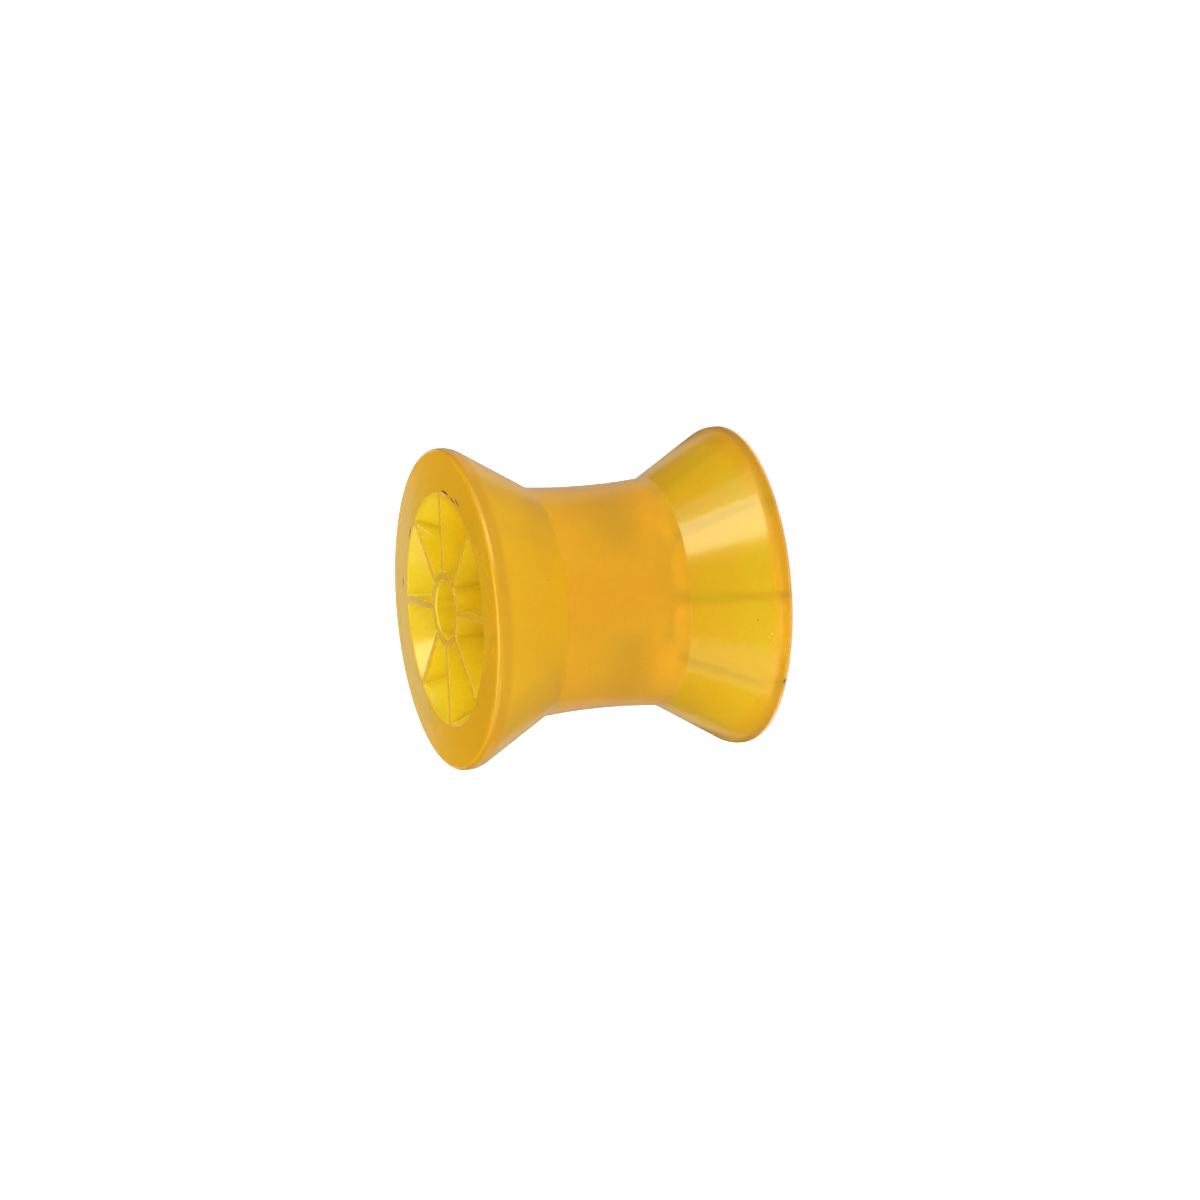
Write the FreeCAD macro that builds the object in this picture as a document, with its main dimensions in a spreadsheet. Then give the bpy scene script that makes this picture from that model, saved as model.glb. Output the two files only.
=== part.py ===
"""Bow roller for a boat trailer: one clear amber moulding, 3 inches long, for a half inch shaft.

The roller stands on one end. The axis of its bore is Z and the origin is the centre of the lower
end face. The outside is a waisted body of revolution: a slightly dished neck between two straight
flares, each ending in a narrow rim. Each end is cored out by a ring of drafted pockets, which leave
thin radial ribs between a hub and the flare's thick wall. Both ends are the same, mirrored.
"""

import FreeCAD, Part
import math
import os
import Sketcher

NODE = "roller"

# Driving dimensions: millimetres, degrees or a count, and what each one measures
SIZES = [
    ("roller_length", 76.2, "over the two end faces"),
    ("end_dia", 79.4, "across the rims"),
    ("neck_dia", 55.4, "at the middle of the neck"),
    ("neck_length", 31.8, "between the two neck corners"),
    ("neck_dish", 0.8, "how much lower the middle of the neck is than its ends"),
    ("neck_corner", 0.8, "radius where the neck meets a flare"),
    ("rim_width", 3.4, "from the end face to the top of the flare"),
    ("end_edge", 1.25, "radius between the rim and the end face"),
    ("end_face_width", 11.0, "flat ring outside the pockets"),
    ("bore_dia", 14.0, "runs freely on a half inch shaft"),
    ("bore_edge", 0.5, "bevel at each mouth of the bore"),
    ("hub_wall", 2.4, "round the bore at the end face"),
    ("floor_setback", 1.0, "from the neck corner up to the pocket floors"),
    ("floor_width", 8.0, "pocket floor, from the hub to the flare's wall"),
    ("rib_count", 8, "ribs in each end"),
    ("rib_thickness", 1.8, "at the end face"),
    ("draft_angle", 1.0, "on the ribs and the hub, in degrees"),
]

# Sizes that follow from the driving ones
HALF_LENGTH = "(Sizes.roller_length / 2)"
HALF_NECK = "(Sizes.neck_length / 2)"
END_RADIUS = "(Sizes.end_dia / 2)"
NECK_CORNER_RADIUS = "(Sizes.neck_dia / 2 + Sizes.neck_dish)"
NECK_ARC_RADIUS = f"(({HALF_NECK} ^ 2 + Sizes.neck_dish ^ 2) / (2 * Sizes.neck_dish))"
FLARE_TOP = f"({HALF_LENGTH} - Sizes.rim_width)"
BORE_RADIUS = "(Sizes.bore_dia / 2)"
HUB_RADIUS = f"({BORE_RADIUS} + Sizes.hub_wall)"
MOUTH_RADIUS = f"({END_RADIUS} - Sizes.end_face_width)"
FLOOR_HEIGHT = f"({HALF_NECK} + Sizes.floor_setback)"
DRAFT = "tan(Sizes.draft_angle * 1 deg)"
FLOOR_HUB_RADIUS = f"({HUB_RADIUS} + ({HALF_LENGTH} - {FLOOR_HEIGHT}) * {DRAFT})"
FLOOR_WALL_RADIUS = f"({FLOOR_HUB_RADIUS} + Sizes.floor_width)"
RIB_FOOT_THICKNESS = f"(Sizes.rib_thickness + 2 * ({HALF_LENGTH} - {HALF_NECK}) * {DRAFT})"

# Which point of a sketch line or arc a constraint takes hold of
START, END, CENTRE = range(1, 4)

# The sketch's own axes and origin, as constraints name them
X_AXIS = -1
Y_AXIS = -2
ORIGIN = (-1, 1)

# How near two lengths must be to count as the same, in millimetres
SAME = 1e-4


def make_sheet(doc):
    """Put the driving dimensions in a sheet, one a row, each under its own name."""
    sheet = doc.addObject("Spreadsheet::Sheet", "Sizes")
    for row, (name, value, meaning) in enumerate(SIZES, start=1):
        sheet.set(f"A{row}", name)
        sheet.set(f"B{row}", str(value))
        sheet.set(f"C{row}", meaning)
        sheet.setAlias(f"B{row}", name)
    doc.recompute()


def origin_feature(body, role):
    """The body's own origin plane or axis of that role."""
    return next(feature for feature in body.Origin.OriginFeatures if feature.Role == role)


def measure(owner, expression):
    """What an expression of the sheet's sizes comes to, as a plain number."""
    return float(owner.evalExpression(expression))


def new_sketch(body, name, role):
    """A sketch on one of the body's origin planes."""
    sketch = body.newObject("Sketcher::SketchObject", name)
    sketch.AttachmentSupport = [(origin_feature(body, role), "")]
    sketch.MapMode = "FlatFace"
    return sketch


def constrain(sketch, kind, *where):
    """Add a constraint that has no size."""
    sketch.addConstraint(Sketcher.Constraint(kind, *where))


def run_of_lines(sketch, points):
    """Draw straight lines through the points, each joined to the one before."""
    lines = []
    for start, end in zip(points, points[1:]):
        segment = Part.LineSegment(FreeCAD.Vector(*start, 0), FreeCAD.Vector(*end, 0))
        lines.append(sketch.addGeometry(segment, False))
    for before, after in zip(lines, lines[1:]):
        constrain(sketch, "Coincident", before, END, after, START)
    return lines


def polygon(sketch, points):
    """Draw a run of lines that comes back to its first point."""
    lines = run_of_lines(sketch, points + points[:1])
    constrain(sketch, "Coincident", lines[-1], END, lines[0], START)
    return lines


def dimension(sketch, name, kind, expression, *where):
    """Add a dimension that follows the sheet."""
    index = sketch.addConstraint(Sketcher.Constraint(kind, *where, measure(sketch, expression)))
    sketch.renameConstraint(index, name)
    sketch.setExpression(f"Constraints.{name}", expression)


def draw_outline(sketch):
    """Draw half the section of the solid roller: axis, end faces, rims, flares and dished neck."""
    half = measure(sketch, HALF_LENGTH)
    neck = measure(sketch, HALF_NECK)
    end = measure(sketch, END_RADIUS)
    corner = measure(sketch, NECK_CORNER_RADIUS)
    flare_top = measure(sketch, FLARE_TOP)

    upper = [(corner, neck), (end, flare_top), (end, half), (0, half)]
    lower = [(x, -y) for x, y in reversed(upper)]
    lines = run_of_lines(sketch, upper + lower)
    high_flare, high_rim, high_face, axis, low_face, low_rim, low_flare = lines

    neck_radius = measure(sketch, NECK_ARC_RADIUS)
    neck_centre = FreeCAD.Vector(measure(sketch, "Sizes.neck_dia / 2") + neck_radius, 0, 0)
    spread = math.asin(neck / neck_radius)
    circle = Part.Circle(neck_centre, FreeCAD.Vector(0, 0, 1), neck_radius)
    neck_arc = sketch.addGeometry(Part.ArcOfCircle(circle, math.pi - spread, math.pi + spread), False)
    constrain(sketch, "Coincident", neck_arc, START, high_flare, START)
    constrain(sketch, "Coincident", neck_arc, END, low_flare, END)
    constrain(sketch, "PointOnObject", neck_arc, CENTRE, X_AXIS)

    constrain(sketch, "PointOnObject", axis, START, Y_AXIS)
    constrain(sketch, "Horizontal", high_face)
    constrain(sketch, "Horizontal", low_face)
    constrain(sketch, "Vertical", high_rim)
    constrain(sketch, "Vertical", low_rim)
    constrain(sketch, "Symmetric", axis, START, axis, END, X_AXIS)
    constrain(sketch, "Symmetric", high_flare, END, low_flare, START, X_AXIS)

    dimension(sketch, "length", "DistanceY", "Sizes.roller_length", axis, END, axis, START)
    dimension(sketch, "end_radius", "DistanceX", END_RADIUS, *ORIGIN, high_rim, START)
    dimension(sketch, "flare_top", "DistanceY", FLARE_TOP, *ORIGIN, high_flare, END)
    dimension(sketch, "neck_top", "DistanceY", HALF_NECK, *ORIGIN, high_flare, START)
    dimension(sketch, "neck_foot", "DistanceY", HALF_NECK, low_flare, END, *ORIGIN)
    dimension(sketch, "neck_corner", "DistanceX", NECK_CORNER_RADIUS, *ORIGIN, high_flare, START)
    dimension(sketch, "neck_dish", "Radius", NECK_ARC_RADIUS, neck_arc)


def draw_recess(sketch):
    """Draw half the section of the ring that is cored out of one end, between hub and wall."""
    mouth = measure(sketch, HALF_LENGTH)
    floor = measure(sketch, FLOOR_HEIGHT)
    corners = [
        (measure(sketch, HUB_RADIUS), mouth),
        (measure(sketch, FLOOR_HUB_RADIUS), floor),
        (measure(sketch, FLOOR_WALL_RADIUS), floor),
        (measure(sketch, MOUTH_RADIUS), mouth),
    ]
    hub_side, floor_line, wall, mouth_line = polygon(sketch, corners)
    constrain(sketch, "Horizontal", floor_line)
    constrain(sketch, "Horizontal", mouth_line)
    dimension(sketch, "mouth_height", "DistanceY", HALF_LENGTH, *ORIGIN, hub_side, START)
    dimension(sketch, "floor_height", "DistanceY", FLOOR_HEIGHT, *ORIGIN, hub_side, END)
    dimension(sketch, "hub_radius", "DistanceX", HUB_RADIUS, *ORIGIN, hub_side, START)
    dimension(sketch, "floor_hub_radius", "DistanceX", FLOOR_HUB_RADIUS, *ORIGIN, hub_side, END)
    dimension(sketch, "floor_wall_radius", "DistanceX", FLOOR_WALL_RADIUS, *ORIGIN, wall, START)
    dimension(sketch, "mouth_radius", "DistanceX", MOUTH_RADIUS, *ORIGIN, wall, END)


def draw_rib(sketch):
    """Draw a rib's own section, thicker at its foot, from the end face down into the neck."""
    top = measure(sketch, HALF_LENGTH)
    foot = measure(sketch, HALF_NECK)
    half_top = measure(sketch, "Sizes.rib_thickness") / 2
    half_foot = measure(sketch, RIB_FOOT_THICKNESS) / 2
    corners = [(-half_top, top), (-half_foot, foot), (half_foot, foot), (half_top, top)]
    _, foot_line, _, top_line = polygon(sketch, corners)
    constrain(sketch, "Symmetric", foot_line, START, foot_line, END, Y_AXIS)
    constrain(sketch, "Symmetric", top_line, START, top_line, END, Y_AXIS)
    dimension(sketch, "top_height", "DistanceY", HALF_LENGTH, *ORIGIN, top_line, START)
    dimension(sketch, "foot_height", "DistanceY", HALF_NECK, *ORIGIN, foot_line, START)
    top_ends = (top_line, END, top_line, START)
    foot_ends = (foot_line, START, foot_line, END)
    dimension(sketch, "thickness", "DistanceX", "Sizes.rib_thickness", *top_ends)
    dimension(sketch, "foot_thickness", "DistanceX", RIB_FOOT_THICKNESS, *foot_ends)


def draw_bore(sketch):
    """Draw the bore's circle about the roller's axis."""
    circle = Part.Circle(
        FreeCAD.Vector(0, 0, 0), FreeCAD.Vector(0, 0, 1), measure(sketch, BORE_RADIUS)
    )
    bore = sketch.addGeometry(circle, False)
    constrain(sketch, "Coincident", bore, CENTRE, *ORIGIN)
    dimension(sketch, "radius", "Radius", BORE_RADIUS, bore)


def is_ring(edge, radius, height):
    """Whether an edge is a circle of that radius about the axis, at that height."""
    curve = edge.Curve
    if not isinstance(curve, Part.Circle) or abs(curve.Radius - radius) > SAME:
        return False
    return (curve.Center - FreeCAD.Vector(0, 0, height)).Length < SAME


def ring_edges(feature, radius, height):
    """The names of the rings of that radius at that height above and below the middle."""
    names = []
    for number, edge in enumerate(feature.Shape.Edges, start=1):
        if is_ring(edge, radius, height) or is_ring(edge, radius, -height):
            names.append(f"Edge{number}")
    return names


def recess_wall(feature, radius, height):
    """The name of the cone that starts at the recess's mouth: the inside of the flare's wall."""
    for number, face in enumerate(feature.Shape.Faces, start=1):
        at_mouth = any(is_ring(edge, radius, height) for edge in face.Edges)
        if at_mouth and isinstance(face.Surface, Part.Cone):
            return f"Face{number}"
    raise RuntimeError("the recess has no wall for the ribs to reach")


def round_edges(body, name, base, edges, size):
    """Round the named edges of the feature before, to a size of the sheet."""
    fillet = body.newObject("PartDesign::Fillet", name)
    fillet.Base = (base, edges)
    fillet.setExpression("Radius", f"Sizes.{size}")
    body.Document.recompute()
    return fillet


def bevel_edges(body, name, base, edges, size):
    """Cut an even bevel on the named edges of the feature before, to a size of the sheet."""
    chamfer = body.newObject("PartDesign::Chamfer", name)
    chamfer.Base = (base, edges)
    chamfer.setExpression("Size", f"Sizes.{size}")
    body.Document.recompute()


def make_outside(body):
    """Revolve the solid waisted outside, and round its neck corners and its outer edges."""
    sketch = new_sketch(body, "OutlineSketch", "XZ_Plane")
    draw_outline(sketch)
    outside = body.newObject("PartDesign::Revolution", "Outside")
    outside.Profile = sketch
    outside.ReferenceAxis = (sketch, ["V_Axis"])
    outside.Angle = 360
    body.Document.recompute()
    corners = ring_edges(outside, measure(body, NECK_CORNER_RADIUS), measure(body, HALF_NECK))
    smooth_neck = round_edges(body, "NeckCorners", outside, corners, "neck_corner")
    ends = ring_edges(smooth_neck, measure(body, END_RADIUS), measure(body, HALF_LENGTH))
    round_edges(body, "EndEdges", smooth_neck, ends, "end_edge")


def core_out_ends(body):
    """Cut a drafted ring out of both ends, between the hub and the flare's wall."""
    sketch = new_sketch(body, "RecessSketch", "XZ_Plane")
    draw_recess(sketch)
    recess = body.newObject("PartDesign::Groove", "UpperRecess")
    recess.Profile = sketch
    recess.ReferenceAxis = (sketch, ["V_Axis"])
    recess.Angle = 360
    body.Document.recompute()
    both = body.newObject("PartDesign::Mirrored", "BothRecesses")
    both.Originals = [recess]
    both.MirrorPlane = (origin_feature(body, "XY_Plane"), [""])
    body.Tip = both
    body.Document.recompute()
    return both


def add_ribs(body, cored):
    """Run one rib from the axis out to the recess's wall, and repeat it round both ends."""
    sketch = new_sketch(body, "RibSketch", "YZ_Plane")
    draw_rib(sketch)
    wall = recess_wall(cored, measure(body, MOUTH_RADIUS), measure(body, HALF_LENGTH))
    rib = body.newObject("PartDesign::Pad", "Rib")
    rib.Profile = sketch
    rib.Type = "UpToFace"
    rib.UpToFace = (cored, [wall])
    body.Document.recompute()

    ribs = body.newObject("PartDesign::MultiTransform", "AllRibs")
    ribs.Originals = [rib]
    around = body.newObject("PartDesign::PolarPattern", "RibsRoundTheHub")
    around.Axis = (origin_feature(body, "Z_Axis"), [""])
    around.Angle = 360
    around.setExpression("Occurrences", "Sizes.rib_count")
    both_ends = body.newObject("PartDesign::Mirrored", "RibsInBothEnds")
    both_ends.MirrorPlane = (origin_feature(body, "XY_Plane"), [""])
    ribs.Transformations = [around, both_ends]
    body.Tip = ribs
    body.Document.recompute()


def bore_through(body):
    """Cut the bore from end to end and bevel its two mouths, so that a shaft finds its way in."""
    sketch = new_sketch(body, "BoreSketch", "XY_Plane")
    draw_bore(sketch)
    bore = body.newObject("PartDesign::Pocket", "Bore")
    bore.Profile = sketch
    bore.SideType = "Symmetric"
    bore.Type = "ThroughAll"
    body.Document.recompute()
    mouths = ring_edges(bore, measure(body, BORE_RADIUS), measure(body, HALF_LENGTH))
    bevel_edges(body, "BoreMouths", bore, mouths, "bore_edge")


def make_roller(doc):
    """The whole moulding, in the order in which its shape is easiest to follow."""
    body = doc.addObject("PartDesign::Body", "Roller")
    body.Label = NODE
    body.setExpression("Placement.Base.z", HALF_LENGTH)
    make_outside(body)
    cored = core_out_ends(body)
    add_ribs(body, cored)
    bore_through(body)
    return body


def check(doc, body):
    """Stop if a feature failed, or if the roller isn't one sound solid."""
    for item in doc.Objects:
        if "Invalid" in item.State or "Error" in item.State:
            raise RuntimeError(f"{item.Name} failed: {item.getStatusString()}")
    if body.Shape.isNull() or not body.Shape.isValid() or len(body.Shape.Solids) != 1:
        raise RuntimeError("the roller isn't one valid solid")


doc = FreeCAD.newDocument("BowRoller")
make_sheet(doc)
roller = make_roller(doc)
check(doc, roller)
os.makedirs("parts", exist_ok=True)
roller.Shape.exportStep(f"parts/{roller.Label}.step")
box = roller.Shape.optimalBoundingBox(True, False)
print(f"{NODE}: {box.XLength:.2f} x {box.YLength:.2f} x {box.ZLength:.2f} mm, from z = {box.ZMin:.2f}")
print(f"volume {roller.Shape.Volume / 1000:.1f} cubic cm, {len(roller.Shape.Faces)} faces")
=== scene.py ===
# %% [markdown]
# # A bow roller for a boat trailer
# The real roller is one moulding of clear amber plastic, 3 inches long. A boat's stem rides in its
# waist, and a half inch shaft runs through its bore. Here it stands on one end, as it would on a
# bench, and the camera is rolled so that the roller lies across the picture.
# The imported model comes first: it gives the size and the place of everything that follows.

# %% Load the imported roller
import math

import bmesh
import bpy
import numpy as np
from mathutils import Matrix, Vector


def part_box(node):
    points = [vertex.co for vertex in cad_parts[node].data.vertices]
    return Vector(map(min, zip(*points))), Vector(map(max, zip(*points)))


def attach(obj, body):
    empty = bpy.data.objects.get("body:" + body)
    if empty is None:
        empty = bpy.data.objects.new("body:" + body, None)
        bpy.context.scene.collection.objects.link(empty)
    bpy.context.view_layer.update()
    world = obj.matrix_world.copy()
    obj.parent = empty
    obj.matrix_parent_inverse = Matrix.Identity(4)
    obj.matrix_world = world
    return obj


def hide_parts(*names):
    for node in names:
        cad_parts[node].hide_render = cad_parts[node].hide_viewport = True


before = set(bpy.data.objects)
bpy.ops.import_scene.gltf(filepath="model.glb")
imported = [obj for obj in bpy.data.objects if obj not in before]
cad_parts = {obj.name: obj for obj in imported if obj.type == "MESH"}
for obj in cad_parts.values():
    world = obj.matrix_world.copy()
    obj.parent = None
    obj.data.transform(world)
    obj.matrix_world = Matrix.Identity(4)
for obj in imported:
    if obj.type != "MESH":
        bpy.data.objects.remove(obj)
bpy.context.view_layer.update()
NODE = "roller"
BODY = "root"
node_low, node_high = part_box(NODE)
print("packed roller, millimetres:", [round(1000 * size, 2) for size in node_high - node_low])

# %% [markdown]
# ## Sizes
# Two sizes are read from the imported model, so that the render can't drift away from it. The rest
# are the real sizes of the moulding in millimetres, and every later number is worked out from them.

# %% Sizes of the moulding
MM = 0.001
HALF_LENGTH = (node_high.z - node_low.z) / 2 / MM
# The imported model's facets leave one side a hair short, and the render stays inside both
END_RADIUS = min(node_high.x - node_low.x, node_high.y - node_low.y) / 2 / MM
# In metres, because nodes and lamps take it so
MIDDLE_HEIGHT = (node_high.z + node_low.z) / 2
NECK_HALF = 15.9
NECK_RADIUS = 27.7
NECK_DISH = 0.8
NECK_CORNER = 0.8
RIM_WIDTH = 3.4
RIM_CORNER = 5.0
END_EDGE = 1.25
FACE_WIDTH = 11.0
BORE_RADIUS = 7.0
BORE_EDGE = 0.5
BORE_EDGE_ROUND = 0.15
HUB_RADIUS = BORE_RADIUS + 2.4
POCKETS = 8
HALF_RIB = 0.9
RIB_ROOT = 0.35
DRAFT = math.tan(math.radians(1.0))
POCKET_DEPTH = HALF_LENGTH - NECK_HALF - 1.0
FLOOR_WIDTH = 8.0
FLOOR_CORNER = 0.8
POCKET_EDGE = 0.25
MOUTH_RADIUS = END_RADIUS - FACE_WIDTH
FLOOR_RADIUS = HUB_RADIUS + POCKET_DEPTH * DRAFT + FLOOR_WIDTH
HALF_PITCH = math.pi / POCKETS
print(f"end radius {END_RADIUS:.2f}, pocket depth {POCKET_DEPTH:.2f}, floor radius {FLOOR_RADIUS:.2f}")

# %% [markdown]
# ## The plastic
# The moulding is plasticised PVC, coloured amber right through. Four things make its look. Light
# that enters is filtered on its way, which the absorption inside the volume does. The plastic isn't
# quite clear, so part of the light scatters back near the surface, which the opaque share does. It
# is cloudy inside but its skin was pressed against polished steel, so a rough body carries a thin
# smooth coat: the body blurs what shows through, and the coat keeps the highlights crisp. And the
# more plastic lies behind a place, the more orange the light that scatters back from it. A rough
# body can't work that out by itself, so the colour is set by depth: lemon in the pockets, yellow on
# the thin flares, more orange on the rims and the solid neck.

# %% Colours and nodes
def srgb(hex_colour):
    """A colour written as in a paint program, as the linear values that a shader takes."""
    channels = [int(hex_colour[n:n + 2], 16) / 255 for n in (0, 2, 4)]
    return [c / 12.92 if c <= 0.04045 else ((c + 0.055) / 1.055) ** 2.4 for c in channels] + [1.0]


def add_node(tree, kind, settings=None, inputs=None, links=None):
    """Add a node with its settings, its input values and its links from other nodes' outputs."""
    node = tree.nodes.new(kind)
    for name, value in (settings or {}).items():
        setattr(node, name, value)
    for name, value in (inputs or {}).items():
        node.inputs[name].default_value = value
    for name, (source, output) in (links or {}).items():
        tree.links.new(source.outputs[output], node.inputs[name])
    return node


# %% Places on the skin, and colours laid over them
def positions(tree):
    """Where a point of the skin lies: its height, its distance from the middle and the axis, its angle."""
    place = add_node(tree, "ShaderNodeTexCoord")
    apart = add_node(tree, "ShaderNodeSeparateXYZ", links={"Vector": (place, "Object")})
    flat = add_node(tree, "ShaderNodeCombineXYZ", links={"X": (apart, "X"), "Y": (apart, "Y")})
    reach = add_node(tree, "ShaderNodeVectorMath", {"operation": "LENGTH"}, links={0: (flat, 0)})
    around = add_node(tree, "ShaderNodeMath", {"operation": "ARCTAN2"},
                      links={0: (apart, "Y"), 1: (apart, "X")})
    above = add_node(tree, "ShaderNodeMath", {"operation": "SUBTRACT"}, {1: MIDDLE_HEIGHT},
                     {0: (apart, "Z")})
    away = add_node(tree, "ShaderNodeMath", {"operation": "ABSOLUTE"}, links={0: (above, 0)})
    return {
        "point": (place, "Object"),
        "z": (apart, "Z"),
        "from_middle": (away, 0),
        "radius": (reach, 1),
        "angle": (around, 0),
    }


def within(tree, *limits, most=1.0):
    """How far a point lies within these limits, each (value, start, end): 0 outside, most inside."""
    share = None
    for value, start, end in limits:
        step = add_node(tree, "ShaderNodeMapRange", {"interpolation_type": "SMOOTHSTEP"},
                        {"From Min": start, "From Max": end, "To Max": 1.0 if share else most},
                        {"Value": value})
        if share:
            step = add_node(tree, "ShaderNodeMath", {"operation": "MULTIPLY"},
                            links={0: share, 1: (step, 0)})
        share = step, 0
    return share


def lay_over(tree, below, above, *limits, most=1.0):
    """Lay one colour over another within these limits, each colour a hex value or a (node, output)."""
    share = within(tree, *limits, most=most)
    mix = add_node(tree, "ShaderNodeMix", {"data_type": "RGBA"}, links={"Factor": share})
    for socket, colour in ((mix.inputs[6], below), (mix.inputs[7], above)):
        if isinstance(colour, str):
            socket.default_value = srgb(colour)
        else:
            tree.links.new(colour[0].outputs[colour[1]], socket)
    return mix, 2


# %% Colour by the depth of plastic behind the skin, and by height
POCKET_COLOUR = "FFF03A"
LOWER_SKIN_COLOUR = "F8D520"
UPPER_SKIN_COLOUR = "FFD61A"
RING_COLOUR = "FFD720"
RIB_COLOUR = "FFD62C"
NECK_COLOUR = "FFD01A"
RIM_COLOUR = "EEC424"
CLOUD_COLOUR = "FFB000"
GRAIN_COLOUR = "D09400"
SKIN_ROUGHNESS = 0.29
NECK_ROUGHNESS = 0.36
FACE_ROUGHNESS = 0.145
# Where one zone turns into the next: first by distance from the roller's middle
NECK_ZONE = (16.6 * MM, 15.4 * MM)
FACE_ZONE = (37.8 * MM, 38.0 * MM)
FLARE_TO_RIM = (33.4 * MM, 35.2 * MM)
RIM_TO_FACE = (38.05 * MM, 37.2 * MM)
# By distance from the axis
RIBS_TO_RING = (28.3 * MM, 28.8 * MM)
POCKET_TO_RIM = (30.0 * MM, 32.0 * MM)
# By height above the floor: the lower flare's skin is a little darker and more yellow than the upper's
LOWER_TO_UPPER_SKIN = (30.0 * MM, 46.0 * MM)
# By distance from the axis, less the flare's slope for each millimetre from the middle
FLARE_SLOPE = 0.55
POCKET_TO_SKIN = (12.0 * MM, 14.0 * MM)
# Cloudiness varies over about 14 mm. The pigment's grain is finer than a tenth of a millimetre, too
# fine to show in the render, so it is drawn 0.8 mm wide.
CLOUD_SIZE = 14.0
CLOUD_RANGE = (0.35, 0.75)
CLOUD_MOST = 0.12
GRAIN_SIZE = 0.8
GRAIN_RANGE = (0.35, 0.65)
GRAIN_MOST = 0.1


def depth_colour(tree, at):
    """Yellow in the thin places and more orange where the moulding is solid, a little darker on the lower
    flare, with a faint mottle.
    """
    sloped = add_node(tree, "ShaderNodeMath", {"operation": "MULTIPLY_ADD"}, {1: -FLARE_SLOPE},
                      {0: at["from_middle"], 2: at["radius"]})
    skin = lay_over(tree, LOWER_SKIN_COLOUR, UPPER_SKIN_COLOUR, (at["z"], *LOWER_TO_UPPER_SKIN))
    colour = lay_over(tree, POCKET_COLOUR, skin, ((sloped, 0), *POCKET_TO_SKIN))
    face = lay_over(tree, RIB_COLOUR, RING_COLOUR, (at["radius"], *RIBS_TO_RING))
    colour = lay_over(tree, colour, face, (at["from_middle"], *FACE_ZONE))
    colour = lay_over(tree, colour, NECK_COLOUR, (at["from_middle"], *NECK_ZONE))
    colour = lay_over(tree, colour, RIM_COLOUR, (at["from_middle"], *FLARE_TO_RIM),
                      (at["from_middle"], *RIM_TO_FACE), (at["radius"], *POCKET_TO_RIM))
    cloud = add_node(tree, "ShaderNodeTexNoise",
                     inputs={"Scale": 1 / (CLOUD_SIZE * MM), "Detail": 3.0, "Roughness": 0.75},
                     links={"Vector": at["point"]})
    colour = lay_over(tree, colour, CLOUD_COLOUR, ((cloud, "Fac"), *CLOUD_RANGE), most=CLOUD_MOST)
    grain = add_node(tree, "ShaderNodeTexNoise",
                     inputs={"Scale": 1 / (GRAIN_SIZE * MM), "Detail": 2.0, "Roughness": 0.6},
                     links={"Vector": at["point"]})
    return lay_over(tree, colour, GRAIN_COLOUR, ((grain, "Fac"), *GRAIN_RANGE), most=GRAIN_MOST)


def dullness(tree, at):
    """The body's roughness: the skin's, a little more on the neck and less on the flat end faces."""
    neck = within(tree, (at["from_middle"], *NECK_ZONE))
    face = within(tree, (at["from_middle"], *FACE_ZONE))
    without_face = add_node(tree, "ShaderNodeMath", {"operation": "MULTIPLY_ADD"},
                            {1: NECK_ROUGHNESS - SKIN_ROUGHNESS, 2: SKIN_ROUGHNESS}, {0: neck})
    whole = add_node(tree, "ShaderNodeMath", {"operation": "MULTIPLY_ADD"},
                     {1: FACE_ROUGHNESS - SKIN_ROUGHNESS}, {0: face, 2: (without_face, 0)})
    return whole, 0


# %% [markdown]
# Plastic that has been moulded, trimmed and handled isn't spotless. The photograph shows dark dashes
# where flash was cut off the pocket mouths, whose darkness is painted shade, a few specks under the
# skin, three tiny bubbles, a nick in the far rim and a bright scratch beside one rib, whose brightness
# is a painted glint. Each is a small ellipsoid that tints the skin, given by its centre and its half
# sizes, both as distance from the axis in millimetres, angle round it in degrees and height in
# millimetres. The scratch runs aslant, so its height is counted from a line that rises with the
# distance from the axis.

# %% Marks of moulding and use, with painted shade and a painted glint
DARK_MARK = "241404"
PALE_MARK = "FFF6C0"
# The dashes by the pocket mouths lie along trimmed flash, and their darkness is painted shade; the specks
# and the nick are the plastic's own
DARK_MARKS = [
    ((29.65, -9.0, 76.2), (0.28, 5.4, 0.4)),
    ((29.65, -20.5, 76.2), (0.25, 4.4, 0.4)),
    ((30.6, -26.0, 76.2), (0.25, 4.0, 0.4)),
    ((29.5, 54.3, 76.2), (0.26, 3.6, 0.4)),
    ((31.9, 82.7, 76.2), (0.34, 2.6, 0.4)),
    ((37.8, 56.3, 76.2), (0.22, 0.4, 0.4)),
    ((38.9, -12.3, 71.5), (0.9, 0.6, 0.26)),
    ((36.6, -19.9, 67.7), (0.9, 0.4, 0.2)),
    ((32.0, -74.1, 59.8), (0.9, 0.3, 0.16)),
    ((36.8, -97.6, 8.2), (0.9, 0.26, 0.18)),
    ((39.2, -121.8, 0.65), (1.2, 1.5, 0.55)),
]
PALE_MARKS = [
    ((29.15, -8.0, 76.2), (0.22, 4.8, 0.4)),
    ((30.15, -22.5, 76.2), (0.2, 4.8, 0.4)),
    ((38.6, -102.6, 5.2), (0.9, 0.34, 0.22)),
    ((38.8, -104.9, 4.8), (0.9, 0.4, 0.18)),
    ((39.7, -108.2, 1.9), (0.9, 0.26, 0.18)),
]
# A scratch beside one rib, tinted pale: its brightness is a painted glint
SCRATCH_GLINT_SLOPE = 0.81
SCRATCH_GLINT = [((24.6, 42.8, 54.7), (2.4, 2.6, 0.46))]
MARK_EDGE = (1.0, 0.7)


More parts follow.
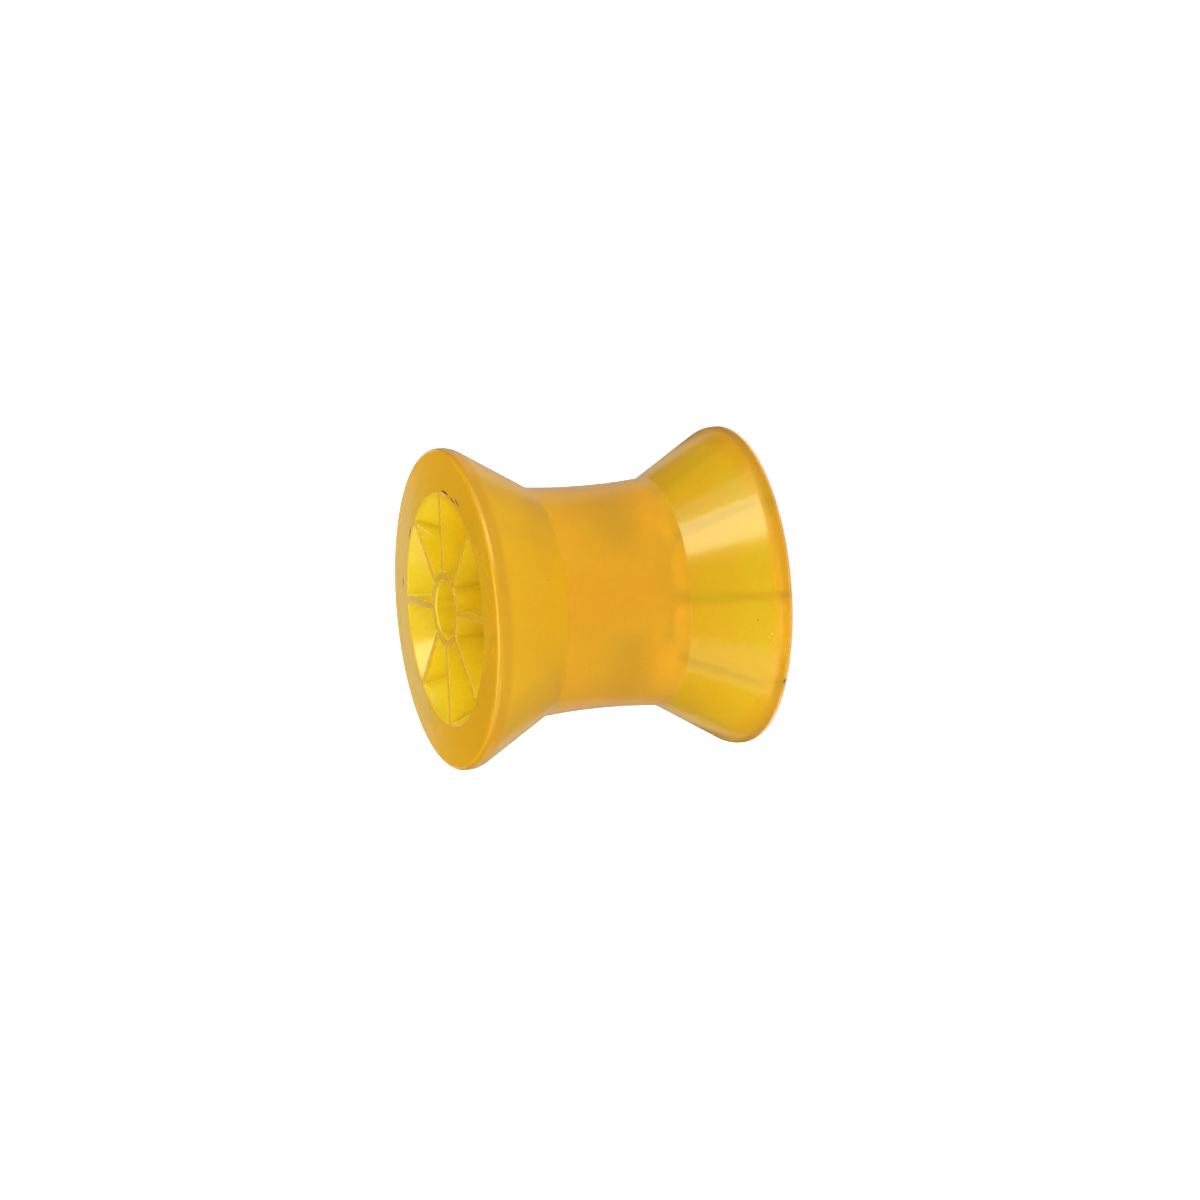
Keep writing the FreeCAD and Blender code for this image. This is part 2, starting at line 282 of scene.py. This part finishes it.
def nearest_mark(tree, at, height, marks):
    """How far off the middle of the nearest of these marks is: 0 there, and 1 at that mark's edge."""
    point = add_node(tree, "ShaderNodeCombineXYZ", links={"X": at["radius"], "Y": at["angle"], "Z": height})
    nearest = None
    for centre, half_sizes in marks:
        middle = (centre[0] * MM, math.radians(centre[1]), centre[2] * MM)
        half = (half_sizes[0] * MM, math.radians(half_sizes[1]), half_sizes[2] * MM)
        scaled = add_node(tree, "ShaderNodeVectorMath", {"operation": "MULTIPLY_ADD"},
                          {1: [1 / h for h in half], 2: [-m / h for m, h in zip(middle, half)]},
                          {0: (point, 0)})
        length = add_node(tree, "ShaderNodeVectorMath", {"operation": "LENGTH"}, links={0: (scaled, 0)})
        if nearest:
            closer = add_node(tree, "ShaderNodeMath", {"operation": "MINIMUM"},
                              links={0: nearest, 1: (length, 1)})
            nearest = closer, 0
        else:
            nearest = length, 1
    return nearest


def with_marks(tree, at, colour):
    """The colour with all the marks laid over it."""
    slanted = add_node(tree, "ShaderNodeMath", {"operation": "MULTIPLY_ADD"}, {1: -SCRATCH_GLINT_SLOPE},
                       {0: at["radius"], 2: at["z"]})
    # Pale marks, dark marks with their painted shade, and the scratch's painted glint
    for marks, height, tint in (
        (PALE_MARKS, at["z"], PALE_MARK),
        (DARK_MARKS, at["z"], DARK_MARK),
        (SCRATCH_GLINT, (slanted, 0), PALE_MARK),
    ):
        colour = lay_over(tree, colour, tint, (nearest_mark(tree, at, height, marks), *MARK_EDGE))
    return colour


# %% Amber moulded PVC
# The waves that the polished mould leaves in the skin
RIPPLE_SIZE = 4.0
RIPPLE_HEIGHT = 0.4
RIPPLE_STRENGTH = 0.12


def amber_pvc():
    """Clear amber plasticised PVC from a polished mould."""
    material = bpy.data.materials.new("amber_moulded_pvc")
    material.use_nodes = True
    tree = material.node_tree
    tree.nodes.clear()
    at = positions(tree)
    colour = with_marks(tree, at, depth_colour(tree, at))
    ripple = add_node(tree, "ShaderNodeTexNoise",
                      inputs={"Scale": 1 / (RIPPLE_SIZE * MM), "Detail": 2.0, "Roughness": 0.5},
                      links={"Vector": at["point"]})
    bump = add_node(tree, "ShaderNodeBump",
                    inputs={"Strength": RIPPLE_STRENGTH, "Distance": RIPPLE_HEIGHT * MM},
                    links={"Height": (ripple, "Fac")})
    plastic = add_node(
        tree, "ShaderNodeBsdfPrincipled",
        inputs={
            "Specular Tint": srgb("FFF4A0"),
            "Coat Weight": 0.55,
            "Coat Roughness": 0.12,
            "Coat IOR": 1.5,
            "IOR": 1.5,
            "Transmission Weight": 0.67,
        },
        links={"Normal": (bump, "Normal"), "Base Color": colour, "Roughness": dullness(tree, at)},
    )
    amber = add_node(tree, "ShaderNodeVolumeAbsorption", inputs={"Color": srgb("FFF300"), "Density": 96.4})
    add_node(tree, "ShaderNodeOutputMaterial",
             links={"Surface": (plastic, "BSDF"), "Volume": (amber, "Volume")})
    return material


plastic = amber_pvc()
print("plastic:", plastic.name)

# %% [markdown]
# ## The outside, as a line to be turned
# The outside is what a lathe would make: end face, rounded edge, narrow rim, straight flare and
# a slightly dished neck. A line through its corners describes it, and each corner is then rounded
# by its own radius. Plastic always has such radii, and their thin highlights are what shows the
# eye that the edge is moulded and not cut.

# %% Round the corners of a line
def round_corners(corners):
    """Points (radius, height) along straight runs that meet in arcs, from (r, z, corner radius, steps)."""
    points = [Vector(corners[0][:2])]
    for before, here, after in zip(corners, corners[1:], corners[2:]):
        corner = Vector(here[:2])
        back = (Vector(before[:2]) - corner).normalized()
        on = (Vector(after[:2]) - corner).normalized()
        half_angle = back.angle(on) / 2
        centre = corner + (back + on).normalized() * here[2] / math.sin(half_angle)
        first = corner + back * here[2] / math.tan(half_angle) - centre
        last = corner + on * here[2] / math.tan(half_angle) - centre
        for step in range(here[3] + 1):
            points.append(centre + first.slerp(last, step / here[3]) * here[2])
    points.append(Vector(corners[-1][:2]))
    return points


def subdivide(points, longest):
    """The same line with no step longer than that."""
    fine = [points[0]]
    for start, end in zip(points, points[1:]):
        steps = max(1, math.ceil((end - start).length / longest))
        fine += [start.lerp(end, step / steps) for step in range(1, steps + 1)]
    return [p for p, q in zip(fine, fine[1:]) if (p - q).length > 1e-6] + [fine[-1]]


def neck_line(steps):
    """Points down the dished neck, from its corner to the roller's middle."""
    radius = (NECK_HALF**2 + NECK_DISH**2) / (2 * NECK_DISH)
    spread = math.asin(NECK_HALF / radius)
    centre = NECK_RADIUS + radius
    angles = [spread * (1 - step / steps) for step in range(steps + 1)]
    return [(centre - radius * math.cos(a), radius * math.sin(a)) for a in angles]


NECK_STEPS = 8
LONGEST_OUTSIDE = 2.5
LONGEST_IN_BORE = 5.0
neck = neck_line(NECK_STEPS)
outside = round_corners([
    (END_RADIUS - END_EDGE, HALF_LENGTH, 0, 0),
    (END_RADIUS, HALF_LENGTH, END_EDGE, 7),
    (END_RADIUS, HALF_LENGTH - RIM_WIDTH, RIM_CORNER, 5),
    (*neck[0], NECK_CORNER, 6),
    (*neck[1], 0, 0),
])
outside = subdivide(outside + [Vector(point) for point in neck[2:]], LONGEST_OUTSIDE)
bore_line = round_corners([
    (BORE_RADIUS + 2 * BORE_EDGE, HALF_LENGTH, 0, 0),
    (BORE_RADIUS + BORE_EDGE, HALF_LENGTH, BORE_EDGE_ROUND, 3),
    (BORE_RADIUS, HALF_LENGTH - BORE_EDGE, BORE_EDGE_ROUND, 3),
    (BORE_RADIUS, 0, 0, 0),
])
bore_line = subdivide(bore_line, LONGEST_IN_BORE)
print(len(outside), "points outside,", len(bore_line), "points down the bore")

# %% [markdown]
# ## One pocket
# Each end is cored out by eight steel pins in the mould, which leave eight thin ribs. Every pocket
# is a wedge between two ribs, narrower at its floor, because the pins are drafted to pull out.
# A boolean cut would do, but it leaves ragged triangles that show in clear plastic. Rings of points
# are cleaner: each ring follows the pocket's outline at one depth, and all have the same count.

# %% Outline of a pocket at one depth
WALL_STEPS = 20
CORNER_STEPS = 4
SIDE_STEPS = 14
HUB_STEPS = 6
MOUTH_RINGS = 4
STRAIGHT_RINGS = 8
FLOOR_RINGS = 6
TIGHTEST_CORNER = 0.3


def beside_rib(distance, offset):
    """A point that far along the rib above the pocket and that far off the rib's middle."""
    along = Vector((math.cos(HALF_PITCH), math.sin(HALF_PITCH)))
    return along * distance + Vector((along.y, -along.x)) * offset


def turn(start, end, steps):
    """Points from one to the other about the axis, the last left out."""
    angles = np.linspace(math.atan2(start.y, start.x), math.atan2(end.y, end.x), steps + 1)[:-1]
    return [Vector((math.cos(a), math.sin(a))) * start.length for a in angles]


def bend(centre, start, end, steps):
    """Points round a small corner, the last left out."""
    arms = start - centre, end - centre
    return [centre + arms[0].slerp(arms[1], step / steps) * arms[0].length for step in range(steps)]


def straight(start, end, steps):
    """Points along a straight line, the last left out."""
    return [start.lerp(end, step / steps) for step in range(steps)]


def pocket_ring(depth, inset):
    """The pocket's outline at that depth, moved inwards by inset, anticlockwise from the wall's low end."""
    share = depth / POCKET_DEPTH
    wall = MOUTH_RADIUS + (FLOOR_RADIUS - MOUTH_RADIUS) * share - inset
    hub = HUB_RADIUS + depth * DRAFT + inset
    side = HALF_RIB + depth * DRAFT + inset
    corner = max(RIB_ROOT - max(inset, 0), TIGHTEST_CORNER)
    offset = side + corner
    wall_centre = beside_rib(math.sqrt((wall - corner) ** 2 - offset**2), offset)
    hub_centre = beside_rib(math.sqrt((hub + corner) ** 2 - offset**2), offset)
    wall_end = wall_centre.normalized() * wall
    hub_end = hub_centre.normalized() * hub
    wall_side = beside_rib(math.sqrt((wall - corner) ** 2 - offset**2), side)
    hub_side = beside_rib(math.sqrt((hub + corner) ** 2 - offset**2), side)
    # The pocket's lower half is its upper half mirrored
    low = lambda point: Vector((point.x, -point.y))
    return (
        turn(low(wall_end), wall_end, WALL_STEPS)
        + bend(wall_centre, wall_end, wall_side, CORNER_STEPS)
        + straight(wall_side, hub_side, SIDE_STEPS)
        + bend(hub_centre, hub_side, hub_end, CORNER_STEPS)
        + turn(hub_end, low(hub_end), HUB_STEPS)
        + bend(low(hub_centre), low(hub_end), low(hub_side), CORNER_STEPS)
        + straight(low(hub_side), low(wall_side), SIDE_STEPS)
        + bend(low(wall_centre), low(wall_side), low(wall_end), CORNER_STEPS)
    )


def pocket_rings():
    """All rings of one pocket, as (x, y, z): over its rounded mouth, down its walls, round its floor."""
    rings = []
    for step in range(MOUTH_RINGS + 1):
        angle = math.radians(90 * step / MOUTH_RINGS)
        rings.append((POCKET_EDGE * (1 - math.cos(angle)), -POCKET_EDGE * (1 - math.sin(angle))))
    wall_foot = POCKET_DEPTH - FLOOR_CORNER
    rings += [(depth, 0.0) for depth in np.linspace(POCKET_EDGE, wall_foot, STRAIGHT_RINGS)[1:]]
    for step in range(1, FLOOR_RINGS + 1):
        angle = math.radians(90 * step / FLOOR_RINGS)
        depth = POCKET_DEPTH - FLOOR_CORNER * (1 - math.sin(angle))
        rings.append((depth, FLOOR_CORNER * (1 - math.cos(angle))))
    return [
        [(*point, HALF_LENGTH - depth) for point in pocket_ring(depth, inset)]
        for depth, inset in rings
    ]


print("rings:", len(pocket_rings()), "points in each:", len(pocket_rings()[0]))

# %% [markdown]
# ## One sixteenth of the roller
# The roller is the same wedge sixteen times: eight round each end. The wedge runs from the middle
# of one rib to the middle of the next, and from the end face to the roller's middle. Its flat end
# face lies between the pocket's first ring and the wedge's own border, so the border has the same
# number of points as a ring.

# %% Border of the wedge in the end face
def end_border():
    """Points round the wedge's border in the end face, in the same order as a pocket's ring."""
    # Half of each corner's steps belong to either side of it, so the list starts in mid corner
    half = CORNER_STEPS // 2
    ring = pocket_ring(0, -POCKET_EDGE)
    outer = outside[0].x
    inner = bore_line[0].x
    outer_angles = np.linspace(-HALF_PITCH, HALF_PITCH, WALL_STEPS + CORNER_STEPS + 1)
    inner_angles = np.linspace(HALF_PITCH, -HALF_PITCH, HUB_STEPS + CORNER_STEPS + 1)
    rib = Vector((math.cos(HALF_PITCH), math.sin(HALF_PITCH)))
    first_side = WALL_STEPS + CORNER_STEPS
    along = [ring[first_side + step].dot(rib) for step in range(SIDE_STEPS + 1)]
    radii = [(outer + along[0]) / 2, *along, (inner + along[-1]) / 2]
    upper = [rib * radius for radius in radii]
    lower = [Vector((point.x, -point.y)) for point in reversed(upper)]
    arc = lambda radius, angles: [Vector((math.cos(a), math.sin(a))) * radius for a in angles]
    border = arc(outer, outer_angles) + upper + arc(inner, inner_angles) + lower
    return border[half:] + border[:half]


print("border points:", len(end_border()))

# %% Build the wedge
# In metres: points nearer than this in one wedge, and in two neighbours, are the same point
SAME_POINT = 1e-7
SAME_SEAM_POINT = 2e-6


def make_wedge():
    """One sixteenth of the roller as a mesh object, about the roller's centre."""
    work = bmesh.new()

    def row(points):
        """Add a row of points, given in millimetres."""
        return [work.verts.new(Vector(point) * MM) for point in points]

    def strip(first, second, closed):
        """Join two rows by a strip of quads."""
        count = len(first) if closed else len(first) - 1
        for n in range(count):
            m = (n + 1) % len(first)
            work.faces.new((first[n], first[m], second[m], second[n]))

    def turned_rows(line, steps):
        """Sweep a line of (radius, height) through the wedge's angle, as rows from the end to the middle."""
        angles = np.linspace(-HALF_PITCH, HALF_PITCH, steps + 1)
        return [row([(p.x * math.cos(a), p.x * math.sin(a), p.y) for a in angles]) for p in line]

    rings = [row([(*point, HALF_LENGTH) for point in end_border()])]
    rings += [row(ring) for ring in pocket_rings()]
    for first, second in zip(rings, rings[1:]):
        strip(first, second, True)
    work.faces.new(rings[-1])
    for line, steps in ((outside, WALL_STEPS + CORNER_STEPS), (bore_line, HUB_STEPS + CORNER_STEPS)):
        rows = turned_rows(line, steps)
        for first, second in zip(rows, rows[1:]):
            strip(first, second, False)
    bmesh.ops.remove_doubles(work, verts=work.verts, dist=SAME_POINT)
    mesh = bpy.data.meshes.new("roller_wedge")
    mesh.materials.append(plastic)
    work.to_mesh(mesh)
    work.free()
    wedge = bpy.data.objects.new("roller_wedge", mesh)
    bpy.context.scene.collection.objects.link(wedge)
    return wedge


wedge = make_wedge()
print("faces in one sixteenth:", len(wedge.data.polygons))

# %% [markdown]
# ## Sixteen wedges make a roller
# Geometry Nodes repeat the wedge. A point for each pocket carries one copy, turned about the axis.
# The second end is the same ring rolled over by half a turn about X, which works because the wedge
# is symmetric. Points that meet are then merged, so the whole is one closed skin, as clear plastic
# needs: a gap or a double wall inside would show.

# %% A node tree that repeats the wedge
def repeat_tree():
    """A tree that turns one wedge into the whole roller."""
    tree = bpy.data.node_groups.new("repeat_wedge", "GeometryNodeTree")
    for name, kind in (
        ("Geometry", "NodeSocketGeometry"),
        ("Pockets in an end", "NodeSocketInt"),
        ("Height of the middle", "NodeSocketFloat"),
        ("Merge distance", "NodeSocketFloat"),
        ("Plastic", "NodeSocketMaterial"),
    ):
        tree.interface.new_socket(name, in_out="INPUT", socket_type=kind)
    tree.interface.new_socket("Geometry", in_out="OUTPUT", socket_type="NodeSocketGeometry")
    given = add_node(tree, "NodeGroupInput")
    points = add_node(tree, "GeometryNodePoints", links={"Count": (given, "Pockets in an end")})
    index = add_node(tree, "GeometryNodeInputIndex")
    pitch = add_node(tree, "ShaderNodeMath", {"operation": "DIVIDE"}, {0: math.tau},
                     {1: (given, "Pockets in an end")})
    angle = add_node(tree, "ShaderNodeMath", {"operation": "MULTIPLY_ADD"},
                     links={0: (index, "Index"), 1: (pitch, 0)})
    half_pitch = add_node(tree, "ShaderNodeMath", {"operation": "MULTIPLY"}, {1: 0.5}, {0: (pitch, 0)})
    tree.links.new(half_pitch.outputs[0], angle.inputs[2])
    about_z = add_node(tree, "ShaderNodeCombineXYZ", links={"Z": (angle, 0)})
    ring = add_node(tree, "GeometryNodeInstanceOnPoints",
                    links={"Points": (points, 0), "Instance": (given, "Geometry"), "Rotation": (about_z, 0)})
    real = add_node(tree, "GeometryNodeRealizeInstances", links={"Geometry": (ring, 0)})
    rolled = add_node(tree, "GeometryNodeTransform", inputs={"Rotation": (math.pi, 0.0, 0.0)},
                      links={"Geometry": (real, 0)})
    both = add_node(tree, "GeometryNodeJoinGeometry", links={"Geometry": (real, 0)})
    tree.links.new(rolled.outputs[0], both.inputs["Geometry"])
    merged = add_node(tree, "GeometryNodeMergeByDistance",
                      links={"Geometry": (both, 0), "Distance": (given, "Merge distance")})
    lift = add_node(tree, "ShaderNodeCombineXYZ", links={"Z": (given, "Height of the middle")})
    raised = add_node(tree, "GeometryNodeTransform",
                      links={"Geometry": (merged, 0), "Translation": (lift, 0)})
    smooth = add_node(tree, "GeometryNodeSetShadeSmooth", links={"Geometry": (raised, 0)})
    coated = add_node(tree, "GeometryNodeSetMaterial",
                      links={"Geometry": (smooth, 0), "Material": (given, "Plastic")})
    add_node(tree, "NodeGroupOutput", links={"Geometry": (coated, 0)})
    return tree


def run_tree(source, tree, values, name):
    """Run a tree on an object and give the result as a plain mesh object of that name."""
    modifier = source.modifiers.new(tree.name, "NODES")
    modifier.node_group = tree
    for item in tree.interface.items_tree:
        if item.in_out == "INPUT" and item.name in values:
            modifier[item.identifier] = values[item.name]
    seen = source.evaluated_get(bpy.context.evaluated_depsgraph_get())
    mesh = bpy.data.meshes.new_from_object(seen)
    source.modifiers.remove(modifier)
    made = bpy.data.objects.new(name, mesh)
    bpy.context.scene.collection.objects.link(made)
    return made


# %% Repeat the wedge
roller = run_tree(wedge, repeat_tree(), {
    "Pockets in an end": POCKETS,
    "Height of the middle": MIDDLE_HEIGHT,
    "Merge distance": SAME_SEAM_POINT,
    "Plastic": plastic,
}, "amber_roller")
bpy.data.objects.remove(wedge)
work = bmesh.new()
work.from_mesh(roller.data)
bmesh.ops.recalc_face_normals(work, faces=work.faces)
open_edges = sum(not edge.is_manifold for edge in work.edges)
volume = work.calc_volume() / (10 * MM) ** 3
print("faces:", len(work.faces), "open edges:", open_edges, "volume, cubic cm:", round(volume, 1))
work.to_mesh(roller.data)
work.free()

# %% [markdown]
# ## Flat faces that stay flat
# Smooth shading blends the normals of neighbouring faces, which would make the flat end faces look
# swollen beside their rounded edges. The weighted normal modifier lets the large faces win, so that
# only the radii turn the light.

# %% Weight the normals by area
weights = roller.modifiers.new("flat_faces_win", "WEIGHTED_NORMAL")
weights.mode = "FACE_AREA"
weights.weight = 100
weights.keep_sharp = False
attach(roller, BODY)
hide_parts(NODE)
print("roller piece:", roller.name, "materials:", [m.name for m in roller.data.materials])

# %% [markdown]
# ## Floor and light
# The floor is plain white paper. The camera sees it as white through the Light Path node, other
# light meets it as plain pale paper, and it keeps the roller's soft shadow. Three soft lamps light
# the plastic. The soft box stands high to one side: its place is where the long bright streak
# across a flare reflects from. The other two only fill, so reflections don't see them.

# %% White floor and world
QUAD = [(0, 1, 2, 3)]
FLOOR_HALF = 3.0
FLOOR_DROP = 0.05


def white_floor():
    """A large sheet of pale paper just under the roller, so that no two faces share a plane."""
    half = FLOOR_HALF
    corners = ((-half, -half), (half, -half), (half, half), (-half, half))
    mesh = bpy.data.meshes.new("floor")
    mesh.from_pydata([(x, y, -FLOOR_DROP * MM) for x, y in corners], [], QUAD)
    floor = bpy.data.objects.new("floor", mesh)
    bpy.context.scene.collection.objects.link(floor)
    paper = bpy.data.materials.new("white_paper")
    paper.use_nodes = True
    tree = paper.node_tree
    tree.nodes.clear()
    sheet = add_node(tree, "ShaderNodeBsdfDiffuse", inputs={"Color": srgb("F4F4F2")})
    glow = add_node(tree, "ShaderNodeEmission", inputs={"Color": srgb("FFFFFF"), "Strength": 0.3})
    white = add_node(tree, "ShaderNodeEmission", inputs={"Color": srgb("FFFFFF"), "Strength": 0.66})
    path = add_node(tree, "ShaderNodeLightPath")
    lifted = add_node(tree, "ShaderNodeAddShader", links={0: (sheet, 0), 1: (glow, 0)})
    seen = add_node(tree, "ShaderNodeMath", {"operation": "MAXIMUM"},
                    links={0: (path, "Is Camera Ray"), 1: (path, "Is Glossy Ray")})
    by_camera = add_node(tree, "ShaderNodeMixShader", links={0: (seen, 0), 1: (sheet, 0), 2: (lifted, 0)})
    both = add_node(tree, "ShaderNodeMixShader",
                    links={0: (path, "Is Transmission Ray"), 1: (by_camera, 0), 2: (white, 0)})
    add_node(tree, "ShaderNodeOutputMaterial", links={"Surface": (both, 0)})
    mesh.materials.append(paper)


def white_world():
    """A white surround, at full strength where it is seen and softer as light."""
    world = bpy.data.worlds.new("white_surround")
    bpy.context.scene.world = world
    world.use_nodes = True
    tree = world.node_tree
    tree.nodes.clear()
    path = add_node(tree, "ShaderNodeLightPath")
    mirrored = add_node(tree, "ShaderNodeMath", {"operation": "MAXIMUM"},
                        links={0: (path, "Is Camera Ray"), 1: (path, "Is Glossy Ray")})
    seen = add_node(tree, "ShaderNodeMath", {"operation": "MAXIMUM"},
                    links={0: (mirrored, 0), 1: (path, "Is Transmission Ray")})
    light = add_node(tree, "ShaderNodeBackground", inputs={"Color": srgb("FFFFFF"), "Strength": 0.9})
    full = add_node(tree, "ShaderNodeBackground", inputs={"Color": srgb("FFFFFF"), "Strength": 1.0})
    mixed = add_node(tree, "ShaderNodeMixShader", links={0: (seen, 0), 1: (light, 0), 2: (full, 0)})
    add_node(tree, "ShaderNodeOutputWorld", links={"Surface": (mixed, 0)})


white_floor()
white_world()

# %% The lamps and the camera
CENTRE = Vector((0, 0, MIDDLE_HEIGHT))
# The photograph's line of sight lies a little beside a rib, and camera, lamp and cards turn with it
RIB_TURN = math.radians(5.3)


def area_lamp(name, direction, distance, size, power):
    """A square soft box that looks at the roller's centre from that direction: metres and watts."""
    data = bpy.data.lights.new(name, "AREA")
    data.shape = "SQUARE"
    data.size = size
    data.energy = power
    lamp = bpy.data.objects.new(name, data)
    way = Vector(direction).normalized()
    lamp.location = CENTRE + way * distance
    lamp.rotation_euler = way.to_track_quat("Z", "Y").to_euler()
    bpy.context.scene.collection.objects.link(lamp)
    return lamp


def rolled_camera(azimuth, elevation, roll, distance, aside, lens):
    """A camera on the photograph's line of sight, rolled about it, with the roller a little aside."""
    data = bpy.data.cameras.new("camera")
    data.lens = lens
    data.sensor_width = 36.0
    data.clip_end = 20.0
    camera = bpy.data.objects.new("camera", data)
    level = math.cos(elevation)
    back = Vector((math.sin(azimuth) * level, -math.cos(azimuth) * level, math.sin(elevation)))
    turned = back.to_track_quat("Z", "Y").to_matrix() @ Matrix.Rotation(roll, 3, "Z")
    right, up = turned.col[0], turned.col[1]
    place = CENTRE + back * distance - right * aside[0] - up * aside[1]
    camera.matrix_world = Matrix.Translation(place) @ turned.to_4x4()
    bpy.context.scene.collection.objects.link(camera)
    bpy.context.scene.camera = camera
    return camera


print("middle of the roller, metres:", [round(c, 4) for c in CENTRE])
key_direction = Matrix.Rotation(RIB_TURN, 3, "Z") @ Vector((0.66, -0.47, 0.59))
area_lamp("soft_box", key_direction, distance=0.9, size=0.45, power=2.7)
overhead_fill = area_lamp("overhead_fill", (-0.2, -0.1, 0.97), distance=1.0, size=0.7, power=9.5)
front_fill = area_lamp("front_fill", (-0.65, -0.8, 0.1), distance=1.2, size=1.0, power=6.0)
overhead_fill.visible_glossy = front_fill.visible_glossy = False

# %% [markdown]
# A studio puts dark and pale cards round clear or shiny things, to decide what they mirror. Here
# each card is seen by one kind of ray only. The reflection cards keep the white room out of the
# coat, but for the pale left part of the near end, which looks past the lower edge of the back card.
# The shade cards lie on the floor and darken what shows through the plastic, where a real roller
# sees its own shade. No card is a lamp: a felt's emission only sets the tone that it is seen in.

# %% Cards that only the plastic sees
NEAR_TO_FAR = (40.0 * MM, 60.0 * MM)


def card(name, corners, faces, seen_by, colour, far_colour=None):
    """A sheet that one kind of ray sees, in millimetres; a far colour takes over behind the roller."""
    mesh = bpy.data.meshes.new(name)
    mesh.from_pydata([Matrix.Rotation(RIB_TURN, 3, "Z") @ Vector(c) * MM for c in corners], [], faces)
    sheet = bpy.data.objects.new(name, mesh)
    bpy.context.scene.collection.objects.link(sheet)
    felt = bpy.data.materials.new(name)
    felt.use_nodes = True
    felt.cycles.emission_sampling = "NONE"
    tree = felt.node_tree
    tree.nodes.clear()
    place = add_node(tree, "ShaderNodeTexCoord")
    apart = add_node(tree, "ShaderNodeSeparateXYZ", links={"Vector": (place, "Object")})
    tone = lay_over(tree, colour, far_colour or colour, ((apart, "Y"), *NEAR_TO_FAR))
    flat = add_node(tree, "ShaderNodeEmission", links={"Color": tone})
    add_node(tree, "ShaderNodeOutputMaterial", links={"Surface": (flat, 0)})
    mesh.materials.append(felt)
    for kind in ("camera", "diffuse", "glossy", "transmission", "shadow", "volume_scatter"):
        setattr(sheet, "visible_" + kind, kind == seen_by)


CARD_SIDES = 48


def disc_edge(radius, height):
    """Points round a circle about the roller's axis."""
    turns = [math.tau * n / CARD_SIDES for n in range(CARD_SIDES)]
    return [(radius * math.cos(a), radius * math.sin(a), height) for a in turns]


following = [(n + 1) % CARD_SIDES for n in range(CARD_SIDES)]
ring_faces = [(n, m, CARD_SIDES + m, CARD_SIDES + n) for n, m in enumerate(following)]
disc_faces = [(0, 1 + n, 1 + m) for n, m in enumerate(following)]

print("points round a round card:", len(following))

# What the coat mirrors
card("back_card", [(-300, 100, 103), (300, 100, 103), (300, 100, 500), (-300, 100, 500)], QUAD,
     "glossy", "242424")
card("left_card", [(-300, -20, 2), (-300, 700, 2), (-300, 700, 170), (-300, -20, 170)], QUAD,
     "glossy", "303030")
card("right_card", [(300, -20, 2), (300, 700, 2), (300, 700, 170), (300, -20, 170)], QUAD,
     "glossy", "303030")
card("floor_card", disc_edge(40.2, 0.3) + disc_edge(700, 0.3), ring_faces,
     "glossy", "606060", "ACACAC")
card("front_card", [(-2000, -1500, 300), (1000, -1500, 300), (1000, -1500, 2000), (-2000, -1500, 2000)],
     QUAD, "glossy", "404040")
card("top_card", [(-2000, -1500, 2000), (1000, -1500, 2000), (1000, 100, 2000), (-2000, 100, 2000)],
     QUAD, "glossy", "404040")
card("far_card", [(-1500, 1200, 2), (1500, 1200, 2), (1500, 1200, 1300), (-1500, 1200, 1300)], QUAD,
     "glossy", "BCBCBC")

# What shows through the plastic
card("front_shade", [(-2500, -2500, 0.3), (-300, -2500, 0.3), (-300, -300, 0.3), (-2500, -300, 0.3)],
     QUAD, "transmission", "202020")
card("back_shade", [(-300, 42, 0.3), (60, 42, 0.3), (60, 100, 0.3), (-300, 100, 0.3)], QUAD,
     "transmission", "101010")
card("under_shade", [(0, 0, -0.02)] + disc_edge(39.6, -0.02), disc_faces,
     "transmission", "929292")

# %% [markdown]
# The camera looks along the photograph's own line of sight, from far off through a long lens. It is
# rolled on its side, because the real roller lay across the picture and this one stands on its end.

# %% Camera on the photograph's line of sight
# The distance and the shift are in end radii, because a photograph alone tells no more
camera = rolled_camera(
    azimuth=math.radians(1.76) + RIB_TURN,
    elevation=math.radians(19.98),
    roll=math.radians(-95.14),
    distance=32.63 * END_RADIUS * MM,
    aside=(-0.0626 * END_RADIUS * MM, 0.0199 * END_RADIUS * MM),
    lens=156.8,
)
print("camera at", [round(c, 3) for c in camera.location])
print("camera axes", [[round(c, 4) for c in column] for column in camera.matrix_world.to_3x3().transposed()])

# %% Colour management and light bounces
scene = bpy.context.scene
scene.view_settings.view_transform = "Standard"
# Clear plastic passes light through many faces before it comes out
scene.cycles.max_bounces = 24
scene.cycles.transmission_bounces = 24
scene.cycles.glossy_bounces = 8
scene.cycles.diffuse_bounces = 6
